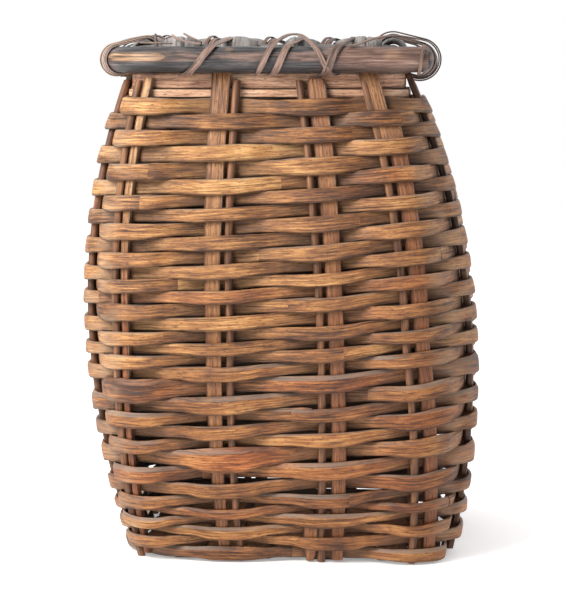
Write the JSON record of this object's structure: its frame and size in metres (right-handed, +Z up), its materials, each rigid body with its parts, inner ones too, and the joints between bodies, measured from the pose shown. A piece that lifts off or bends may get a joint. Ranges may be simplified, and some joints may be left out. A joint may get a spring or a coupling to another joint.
{
  "type": "wicker fishing creel",
  "caption": "Tall bellied wicker creel with rounded corners: woven wood strips round upright stakes, and an open mouth with a lashed withy rim.",
  "frame": {"origin": "on the standing plane, under the middle of the basket's box", "axes": "+Z up through the open mouth, -Y towards the front wall of the picture, +X to the viewer's right"},
  "size_m": [0.287, 0.2338, 0.3762],
  "materials": {
    "weaver_wood": "satin",
    "stake_splint": "satin",
    "round_stake_bark": "satin",
    "band_wood": "satin",
    "rim_bark": "satin",
    "grey_splint": "matt",
    "lashing_strip": "matt",
    "base_splint": "matt"
  },
  "bodies": {
    "root": {"base_cross_splints": "base_splint", "base_edge_weaver": "weaver_wood", "base_long_splints": "base_splint", "flat_stake_01": "stake_splint", "flat_stake_02": "stake_splint", "flat_stake_03": "stake_splint", "flat_stake_04": "stake_splint", "flat_stake_05": "stake_splint", "flat_stake_06": "stake_splint", "flat_stake_07": "stake_splint", "flat_stake_08": "stake_splint", "flat_stake_09": "stake_splint", "flat_stake_10": "stake_splint", "flat_stake_11": "stake_splint", "flat_stake_12": "stake_splint", "flat_stake_13": "stake_splint", "flat_stake_14": "stake_splint", "inner_rim_hoop": "grey_splint", "rim_folds": "grey_splint", "rim_hoop": "rim_bark", "rim_lashing": "lashing_strip", "round_stakes_back": "round_stake_bark", "round_stakes_front": "round_stake_bark", "round_stakes_left": "round_stake_bark", "round_stakes_right": "round_stake_bark", "top_band": "band_wood", "weaver_row_01": "weaver_wood", "weaver_row_02": "weaver_wood", "weaver_row_03": "weaver_wood", "weaver_row_04": "weaver_wood", "weaver_row_05": "weaver_wood", "weaver_row_06": "weaver_wood", "weaver_row_07": "weaver_wood", "weaver_row_08": "weaver_wood", "weaver_row_09": "weaver_wood", "weaver_row_10": "weaver_wood", "weaver_row_11": "weaver_wood", "weaver_row_12": "weaver_wood", "weaver_row_13": "weaver_wood", "weaver_row_14": "weaver_wood", "weaver_row_15": "weaver_wood", "weaver_row_16": "weaver_wood", "weaver_row_17": "weaver_wood", "weaver_row_18": "weaver_wood", "weaver_row_19": "weaver_wood", "weaver_row_20": "weaver_wood", "weaver_row_21": "weaver_wood", "weaver_row_22": "weaver_wood", "weaver_row_23": "weaver_wood", "weaver_row_24": "weaver_wood", "weaver_row_25": "weaver_wood", "weaver_row_26": "weaver_wood", "weaver_row_27": "weaver_wood", "weaver_row_28": "weaver_wood", "weaver_row_29": "weaver_wood", "weaver_row_30": "weaver_wood", "weaver_row_31": "weaver_wood", "weaver_row_32": "weaver_wood", "weaver_row_33": "weaver_wood"}
  },
  "joints": []
}
